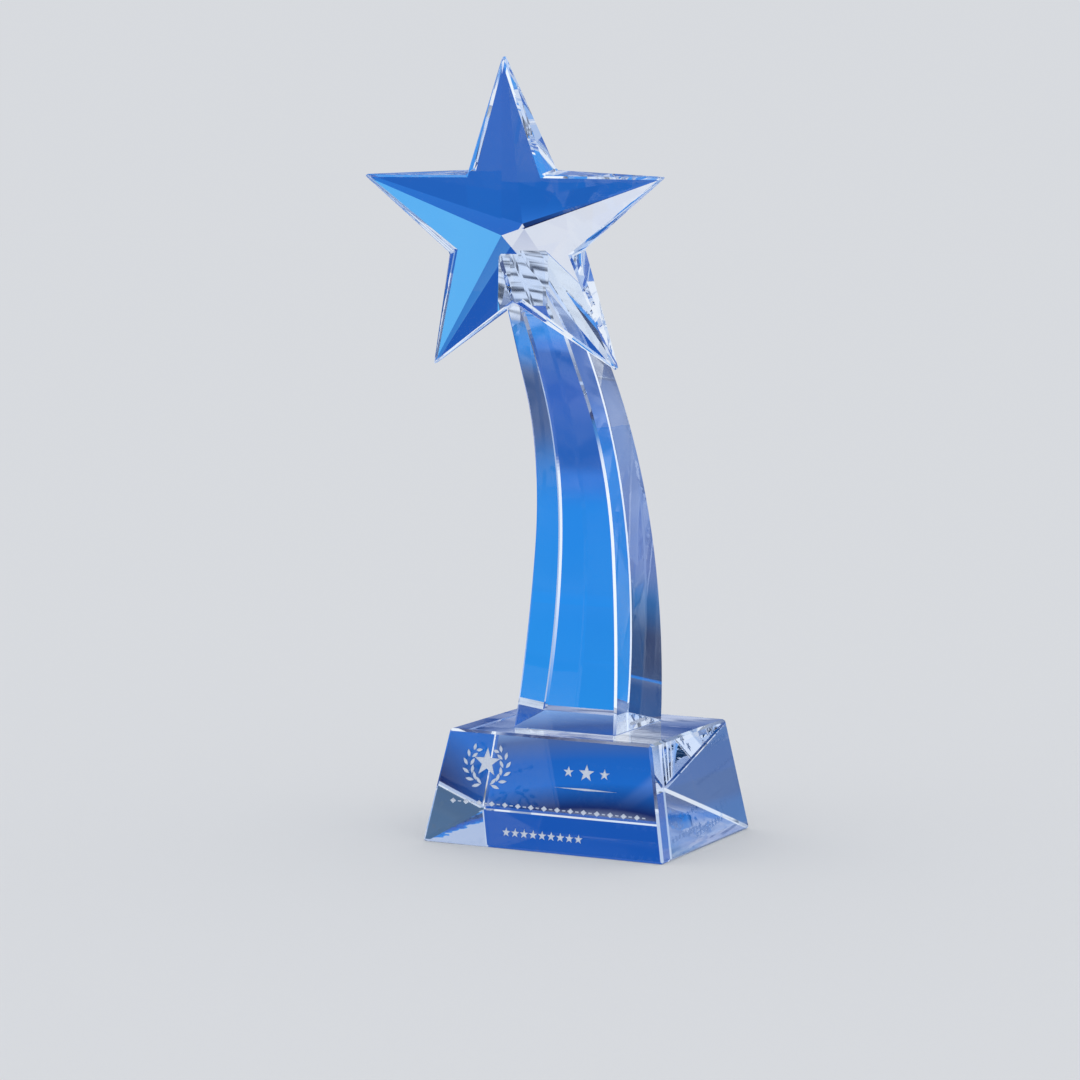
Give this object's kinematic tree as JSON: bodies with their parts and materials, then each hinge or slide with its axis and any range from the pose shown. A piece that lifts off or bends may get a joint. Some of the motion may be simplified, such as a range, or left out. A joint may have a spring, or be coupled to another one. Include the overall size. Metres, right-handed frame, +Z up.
{
  "type": "star trophy",
  "caption": "Crystal award: a faceted five-pointed star bonded to the top of a forward-bowing tapered column on a sloping-sided block base.",
  "frame": {"origin": "centre of the base block's flat bottom face, on the surface that the award stands on", "axes": "+Z up; -Y is the front, the side that the star leans out over and that carries the decoration; +X is to the right seen from the front"},
  "size_m": [0.1056, 0.1077, 0.26],
  "materials": {
    "base_crystal": "polished optical crystal, bevelled edges, sandblasted decoration on the front",
    "column_crystal": "polished optical crystal, bevelled edges",
    "star_crystal": "polished optical crystal, flat facets",
    "adhesive": "clear cured adhesive film"
  },
  "bodies": {
    "root": {"base_block": "base_crystal", "base_bond": "adhesive", "column": "column_crystal", "star_bond": "adhesive", "star": "star_crystal"}
  },
  "joints": []
}
